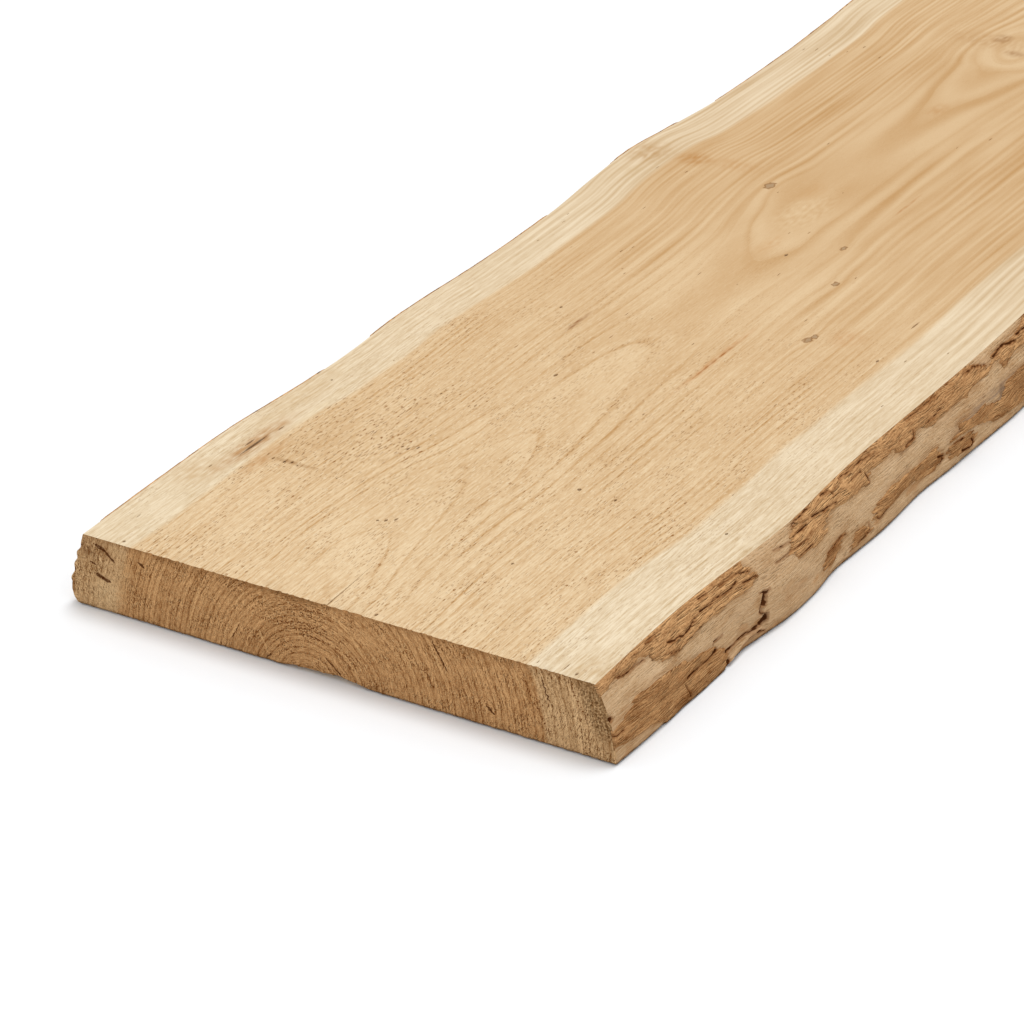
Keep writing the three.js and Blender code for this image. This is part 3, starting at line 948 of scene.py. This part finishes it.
# Coloured patches of the top, as middle x and y, reach along x and y, screen colour and strength.
top_blots = [
    (6, 128, 7, 42, (214, 184, 141), 0.55), (8, 62, 9, 14, (202, 164, 116), 0.6),
    (12, 30, 16, 60, (224, 200, 162), 0.35), (207, 8, 10, 14, (206, 173, 128), 0.5),
    (18, 126, 2.4, 28, (240, 218, 180), 0.5), (13, 93, 5, 30, (190, 140, 88), 0.85),
    (13.8, 90, 1.3, 15, (150, 100, 56), 0.8), (23, 85, 3.8, 20, (198, 150, 100), 0.75),
    (33, 108, 16, 28, (200, 160, 112), 0.4), (34, 86.2, 12, 1.8, (160, 114, 68), 0.65),
    (96, 353, 4.5, 14, (205, 158, 106), 0.45), (93, 390, 12, 26, (238, 212, 172), 0.5),
    (86.5, 410, 5.5, 11, (205, 162, 112), 0.6), (26, 416, 9, 8, (194, 144, 90), 0.9),
    (44, 419, 14, 7, (203, 157, 106), 0.5), (6, 413, 11, 14, (198, 160, 114), 0.8),
    (8, 392, 6, 7, (208, 178, 134), 0.4), (93, 520, 5, 9, (198, 150, 98), 0.55),
    (78, 606, 24, 12, (190, 146, 98), 0.45), (81.5, 612, 5, 6, (158, 112, 70), 0.7),
    (94, 598, 6, 5, (168, 124, 82), 0.6), (128.4, 243, 1.6, 38, (206, 152, 100), 0.8),
    (128.7, 246, 0.5, 24, (166, 106, 56), 0.9), (127.4, 418, 0.8, 14, (188, 130, 76), 0.7),
    (64.8, 247, 1.1, 12, (144, 88, 44), 1), (164, 288, 8, 10, (204, 154, 104), 0.45),
    (182, 122, 18, 0.5, (200, 166, 122), 0.35),
]

# Patches of the near end, as middle x and z, reach along x and z, screen colour and strength.
end_blots = [
    (1.5, 24.5, 4.5, 5, (102, 63, 30), 0.65), (9, 24.5, 4.5, 3.2, (120, 78, 40), 0.65),
    (3, 17, 6, 3, (138, 98, 58), 0.45), (9.5, 8, 8.5, 9, (200, 167, 124), 0.85),
    (14.5, 27, 4, 3, (184, 150, 108), 0.5), (17, 17, 5, 8, (184, 150, 108), 0.4),
    (90, 29.4, 22, 1.8, (112, 77, 43), 0.5), (187, 20, 2.4, 10, (132, 86, 44), 0.5),
    (220, 17.6, 2, 1.2, (36, 20, 10), 1),
]

# Pale torn fibres in the near end, as start x and z, end x and z, and half width.
end_fibres = [
    (75.4, 12.4, 79.6, 3.2, 0.45), (106, 27.4, 114, 21, 0.5), (114, 21, 120, 13, 0.5),
    (133.6, 28, 141, 12, 0.4), (146.6, 26, 153.6, 15, 0.4), (181, 27, 187, 14, 0.45),
    (45.6, 6, 50.4, 22, 0.4), (62.2, 4, 67.8, 13.6, 0.45), (66, 20, 70, 26, 0.4),
]

# Rows of torn pores in the near end, as start x and z, end x and z, and half width.
pore_rows = [
    (88.8, 25.9, 103.8, 25.9, 0.9), (92.7, 23.4, 99.3, 23.4, 0.6), (74, 17.2, 84, 17.6, 0.7),
    (83, 17.4, 94, 19.4, 0.8), (93, 19.3, 102.4, 19.2, 0.9), (90.4, 16.6, 98.2, 16.6, 0.5),
    (93.2, 14.9, 104, 15, 0.8), (103, 15.2, 116, 11.3, 0.6), (182.6, 28.7, 188.7, 16.9, 1),
    (188.7, 16.9, 196, 5.2, 0.9), (204, 27, 210, 15, 0.8), (144, 17, 149.4, 8.6, 0.6),
]

# Dark slits in the near end, as start x and z, end x and z, and half width.
end_slits = [
    (4.6, 27.1, 9.8, 25.5, 1), (8.6, 25.8, 13.6, 21.6, 0.7), (2.2, 19.4, 5, 18.8, 0.5),
    (5, 15.1, 8.4, 13.9, 1.1), (7, 14.2, 11.2, 13.1, 1), (24, 24.9, 27, 23.2, 0.6),
    (103.4, 8.8, 110.6, 3, 0.4), (63.6, 4.6, 67.6, 12, 0.3), (78.4, 1, 80.6, 3.6, 0.5),
    (148, 28.4, 155, 17, 0.45), (192, 27, 195.6, 17.4, 0.4), (170.4, 8.6, 173.8, 6, 0.6),
]

# Darker places in the bark of the right edge, as middle y and z, reach along y and z, and strength.
dark_bark = [
    (161, 8, 13, 5, 0.4), (185, 5, 8, 3.4, 0.4), (252, 7, 7, 4, 0.5),
    (274, 6, 8, 4, 0.45), (48, 12, 8, 5, 0.3), (268, 27, 50, 5, 0.2),
    (286, 13, 18, 3, 0.4), (318, 11, 14, 6, 0.25),
]


def tree_rings(s):
    """Where each point of a surface lies in the tree.

    Returns the distance from the pith, the way round it, the number of the ring and the place in it from
    0 to 1, the share of sapwood, and the slant of the rings: 1 where they stand square to the top, and
    small where they lie nearly flat under it.
    """
    x, y, z = s.x, s.y, s.z
    left_part = follow(y, left_arris) * ramp(x, 80, 25)
    right_part = (follow(y, right_arris) - usual_right_arris) * ramp(x, 130, 190)
    straight_x = x - left_part - right_part
    from_usual = straight_x - usual_pith_x
    near_pith = calculate("EXPONENT", from_usual * from_usual * (-1 / pith_reach**2))
    across = from_usual - (follow(y, pith_x) - usual_pith_x) * near_pith
    usual_pith_z = slab_thickness - usual_pith_depth
    height = z - usual_pith_z + (follow(y, pith_depth) - usual_pith_depth) * near_pith
    radius = distance(across, height)
    slant = abs(across) / radius * 0.85 + 0.15
    wander = s.noise(x / 26, y / 80, z / 26) * 0.4 + s.noise(x / 7, y / 34, z / 7) * 0.25
    radius += wander * (0.15 + slant) - across * ring_lean
    for knot_x, knot_y, reach, size, _ in knots:
        radius -= s.blot(x, y, knot_x, knot_y, reach, 2.2 * reach, 0, 1) * size
    arc = calculate("ARCTAN2", across, height) * radius
    rings = (radius - ring_start) / ring_width
    outer = distance(straight_x - sapwood_middle[0], z - sapwood_middle[1]) - from_usual * sapwood_lean
    outer += s.noise(x / 6, y / 40, z / 6) * 0.8
    sapwood = ramp(outer, sapwood_radius - 1.3, sapwood_radius + 1.5)
    return radius, arc, calculate("FLOOR", rings), calculate("FRACT", rings), sapwood, slant


def sawn_face():
    s = Surface("sawn face", top_light)
    x, y, z = s.x, s.y, s.z
    radius, _, ring, part, sapwood, slant = tree_rings(s)
    spread = slant * follow(y, [(0, 0.36), (200, 0.45), (400, 0.95), (1000, 0.9)])
    line = calculate("MAXIMUM", ramp(part, spread, 0), ramp(part, 1 - spread * 0.4, 1))
    strength = s.random_for(ring) * 0.7 + 0.2 + (1 - slant) * 0.5
    strength *= follow(y, [(0, 0.8), (150, 0.8), (300, 0.6), (440, 0.42), (1000, 0.55)])
    line *= strength * (1 + s.noise(x / 20, y / 70) * 0.8) * (1 - sapwood * 0.6)
    fine = s.noise(x / 0.6, y / 6, 1) * 0.5 + s.noise(x / 0.8, y / 20, 4) * 0.5
    fine *= follow(y, [(0, 1.15), (250, 0.75), (400, 0.12), (1000, 0.25)])
    streaks = s.noise(radius / 1.5, y / 90, 7)
    streaks *= follow(y, [(0, 0.16), (250, 0.22), (420, 0.45), (1000, 0.45)])
    mottle = s.noise(x / 9, y / 34, 3, layers=3)
    shade = 0.26 + line * 0.5 + fine * 0.5 + streaks + mottle * 0.14
    heart = s.between((238, 211, 171), (200, 157, 106), shade)
    sap = s.between((245, 227, 196), (194, 160, 112), shade)
    s.colour = mix(heart, sap, sapwood)
    warmth = follow(y, [(0, 0), (150, 0.5), (300, 0.75), (480, 1.5), (700, 1), (1000, 1.2)])
    s.tint((188, 140, 84), warmth * (1 - sapwood * 0.5) * 0.24)

    along = follow(y, [(0, 1), (180, 0.85), (270, 0.4), (400, 0.12), (1000, 0.3)])
    clusters = 0.3 + ramp(s.noise(x / 11, y / 26, 5), -0.4, 0.7) * 0.7
    clusters += s.blot(x, y, 42, 122, 24, 44) * 0.6
    clusters *= along * (0.6 + line * 0.8)
    pores = ramp(s.noise(x / 0.5, y / 2.6, z / 0.4), 0.38, 0.56) * clusters * (1 - sapwood * 0.45)
    s.tint((156, 100, 46), pores * 0.85)
    # Pale flecks near the near end: painted highlights on the torn grain.
    s.tint((247, 227, 192), ramp(s.noise(x / 0.5, y / 2.6, 9), 0.42, 0.66) * along * 0.5)
    s.tint_patches(x, y, top_blots, 1.25, 0.65 + s.noise(x / 1.6, y / 5, 11) * 0.6)
    wavy = x + s.noise(x / 1.5, y / 2, 12) * 0.7, y + s.noise(x / 1.5, y / 2, 13) * 0.9
    for knot_x, knot_y, _, _, size in knots:
        if size:
            rim = s.blot(*wavy, knot_x, knot_y, 1.2 * size, 1.9 * size, 0.8, 1.15)
            core = s.blot(*wavy, knot_x, knot_y, 0.8 * size, 1.4 * size, 0.6, 1.1)
            s.tint((150, 108, 68), rim * 0.8)
            s.tint((186, 158, 124), core * 0.75)
    # Painted shade in the pits and checks of the top.
    s.tint((128, 76, 32), ramp(s.attribute("crack"), 0.05, 1.1) * 0.95)
    height = fine * 0.6 - pores * 1.2 + s.noise(x / 0.8, y / 2.2, 2) * 0.35
    return s.finish(0.72, height, 0.15)


def end_grain():
    s = Surface("end grain", end_light)
    x, y, z = s.x, s.y, s.z
    radius, arc, ring, part, sapwood, _ = tree_rings(s)
    line = calculate("MAXIMUM", ramp(part, 0.34, 0.04), ramp(part, 0.84, 0.98))
    line *= s.random_for(ring) * 0.7 + 0.3
    second_line = ramp(abs(part - 0.5), 0.16, 0.04) * s.random_for(ring + 20) * 0.6
    dots = ramp(s.noise(radius / 0.7, arc / 0.75, 1), 0.05, 0.3)
    busy = 0.25 + ramp(s.noise(x / 9, z / 6, 16), -0.3, 0.5) * 0.75
    busy = calculate("MAXIMUM", busy, s.blot(x, z, 92, 21, 20, 9, 0.5, 1.1))
    rows_of_pores = calculate("MAXIMUM", line, second_line) * dots * busy
    bands = s.noise(radius / 2, arc / 40, 3)
    fibres = s.noise(radius / 0.45, arc / 2.4, 4) * (0.6 + busy * 0.4)
    fuzz = s.noise(x / 0.5, z / 0.5, 5) * (0.3 + busy * 0.7)
    mottle = s.noise(x / 12, z / 8, 15, layers=2)
    shade = 0.37 + line * 0.33 + bands * 0.22 + fibres * 0.46 + fuzz * 0.46 + mottle * 0.14
    heart = s.between((197, 153, 105), (118, 73, 34), shade)
    sap = s.between((204, 168, 124), (118, 78, 38), shade)
    s.colour = mix(heart, sap, sapwood)
    s.tint((104, 56, 18), rows_of_pores * 0.8)
    pores = ramp(s.noise(radius / 0.55, arc / 0.9, 6), 0.36, 0.62) * (busy + sapwood * 0.3) * 0.85
    s.tint((106, 58, 16), pores)
    torn = ramp(s.noise(radius / 0.5, arc / 1.4, 12), 0.42, 0.65) * (0.3 + busy * 0.4)
    s.tint((212, 172, 124), torn)
    s.tint((112, 70, 34), ramp(z + s.noise(x / 1.4, z / 3, 7) * 2, 26.5, 30) * 0.4)
    # Painted contact shadow along the foot of the end.
    s.tint((84, 58, 36), ramp(z + s.noise(x / 3, z, 17) * 0.3, 1.6, 0.5) * 0.7)

    near = ramp(y, 500, 400)
    s.tint_patches(x, z, end_blots, 1.2, (0.7 + s.noise(x / 1.3, z / 1.6, 8) * 0.6) * near)
    grey = ramp(x + z * 0.42, 215.5, 220.5) * ramp(z, 2, 14) * near
    s.tint((104, 74, 42), grey * (0.55 + s.noise(x / 0.8, z / 0.8, 9) * 0.7))
    wavy_x = x + s.noise(x / 1.5, z / 1.2, 14) * 0.5
    s.tint_strokes(wavy_x, z, end_fibres, (206, 164, 114), (0.5 + fibres * 0.6) * near)
    torn_open = ramp(fuzz + dots * 0.5, 0.1, 0.4) * 0.9
    s.tint_strokes(wavy_x, z, pore_rows, (98, 52, 16), torn_open * near)
    s.tint_strokes(wavy_x, z, end_slits, (72, 36, 10), (0.9 + fuzz * 0.4) * near)
    # Painted shade in the gaps of the right edge where they reach the end.
    s.tint((62, 38, 22), ramp(s.attribute("crack"), 0.3, 0.9) * 0.85)
    height = torn - shade * 0.4 - pores - rows_of_pores * 0.7 + s.noise(x / 0.6, z / 0.6, 10) * 0.4
    return s.finish(0.8, height, 0.4)


def live_edge():
    s = Surface("live edge", edge_light)
    y, z = s.y, s.z
    streaks = s.noise(y / 24, z / 0.45, layers=2) * 0.7 + s.noise(y / 6, z / 0.35, 1) * 0.5
    grit = s.noise(y / 1.6, z / 0.4, 8)
    mottle = s.noise(y / 14, z / 4, 2, layers=3)
    shade = 0.49 + streaks * 0.42 + grit * 0.2 + mottle * 0.14
    s.colour = s.between((204, 175, 139), (152, 114, 74), shade)
    s.tint((200, 172, 138), ramp(s.noise(y / 22, z / 6, 10), 0.05, 0.6) * 0.25)
    s.tint((168, 124, 82), ramp(s.noise(y / 9, z / 4, 11), 0.2, 0.7) * ramp(z, 17, 8) * 0.5)
    # Bast left on the wood, and painted shade beside the step and along the foot.
    s.tint((143, 101, 61), s.attribute("stain_and_shade") * (0.75 + streaks * 0.5))
    threads = ramp(s.noise(y / 6, z / 0.4, 3), 0.4, 0.6) * ramp(s.noise(y / 18, z / 4, 4), 0, 0.5)
    s.tint((118, 80, 46), threads * 0.5)
    weathered = s.blot(y, z, 297, 14.3, 38, 5) * (0.45 + s.noise(y / 9, z / 1.2, 5) * 0.6)
    s.tint((146, 120, 96), weathered)
    s.tint((106, 84, 66), s.blot(y, z, 307, 13.6, 3.6, 3.8) * 0.6)
    # Painted contact shadow along the foot, and painted shade in the cracks.
    s.paint_shade_at_foot_and_cracks((62, 40, 24))
    return s.finish(0.75, streaks + grit * 0.5 - threads * 0.8, 0.25)


def bark_material():
    s = Surface("bark", edge_light)
    y, z = s.y, s.z
    flow = z + s.noise(y / 16, z / 6, 5) * 0.9
    long_fibres = s.noise(y / 14, flow / 0.9, layers=3)
    short_fibres = s.noise(y / 5, flow / 0.32, 1)
    grit = s.noise(y / 1.2, z / 0.4, 8)
    bands = s.noise(y / 34, flow / 2.4, 7)
    mottle = s.noise(y / 10, z / 4, 2, layers=3)
    fibrous = s.attribute("fibrous")
    dark = sum(s.blot(y, z, *place, 0.2, 1.2) * strength for *place, strength in dark_bark)
    frayed = s.blot(y, z, 76, 24, 40, 6) + s.blot(y, z, 158, 24, 40, 9) + dark * 0.5
    shade = 0.45 + long_fibres * (0.34 - fibrous * 0.14 + frayed * 0.25) + short_fibres * 0.34
    shade += grit * 0.24 + bands * (0.3 - fibrous * 0.16)
    shade += mottle * (0.32 - fibrous * 0.12) - frayed * 0.1
    fibrous_colour = s.between((200, 155, 107), (112, 68, 34), shade)
    smooth_colour = s.between((186, 141, 95), (108, 67, 33), shade)
    s.colour = mix(smooth_colour, fibrous_colour, fibrous)
    s.tint((128, 82, 45), dark * 0.8)
    # Darker along the border of the bark: partly its own colour, partly painted shade under its edge.
    border = ramp(s.attribute("depth"), 0.6, -0.1) * (0.15 + s.noise(y / 5, z / 3, 12) * 0.6)
    s.tint((96, 58, 28), border)
    # Splits along the fibres, painted dark as shade, each with a painted highlight on the lip just under
    # it, which catches the light.
    shaded_split, lit = (
        ramp(s.noise(y / 8, (flow + up) / 0.28, 3, layers=2), 0.26, 0.42) for up in (0, 0.27)
    )
    there = 0.46 + frayed * 0.5
    s.tint((222, 180, 128), lit * there * 0.6)
    s.tint((72, 38, 16), shaded_split * there * 0.9)
    # Painted contact shadow along the foot, and painted shade in the cracks.
    s.paint_shade_at_foot_and_cracks((62, 38, 20))
    return s.finish(0.8, long_fibres * 0.6 + short_fibres * 0.5 + grit * 0.3 - shaded_split, 0.35)


# The setting: a pale floor under a wide soft light, seen from the near right

def soft_light():
    world = bpy.data.worlds.new("surroundings")
    world.use_nodes = True
    background = world.node_tree.nodes["Background"]
    background.inputs["Color"].default_value = (1, 1, 1, 1)
    background.inputs["Strength"].default_value = 0.84
    bpy.context.scene.world = world
    lamp = bpy.data.lights.new("softbox", "SUN")
    lamp.energy = 0.4 * math.pi
    lamp.angle = math.radians(24)
    put("softbox", lamp).rotation_euler = (math.radians(-12), math.radians(3), 0)


def pale_floor():
    reach = 12
    mesh = bpy.data.meshes.new("floor")
    corners = [(-reach, -reach, 0), (reach, -reach, 0), (reach, reach, 0), (-reach, reach, 0)]
    mesh.from_pydata(corners, [], [(0, 1, 2, 3)])
    material = bpy.data.materials.new("floor")
    material.use_nodes = True
    shader = material.node_tree.nodes["Principled BSDF"]
    shader.inputs["Base Color"].default_value = (0.878, 0.895, 0.912, 1)
    shader.inputs["Roughness"].default_value = 1
    shader.inputs["Specular IOR Level"].default_value = 0
    mesh.materials.append(material)
    return put("floor", mesh)


def camera():
    lens = bpy.data.cameras.new("camera")
    lens.lens = 153.04
    lens.sensor_width = 36
    lens.clip_end = 50
    eye = put("camera", lens)
    eye.location = (0.7352, -1.6185, 0.7726)
    eye.rotation_euler = (math.radians(62.212), 0, math.radians(30.634))
    return eye


wood = slab_wood()
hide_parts("slab")
for piece in (wood, bark(right_edge), bark(left_edge)):
    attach(piece, "root")

pale_floor()
soft_light()
bpy.context.scene.camera = camera()
bpy.context.scene.view_settings.view_transform = "Standard"
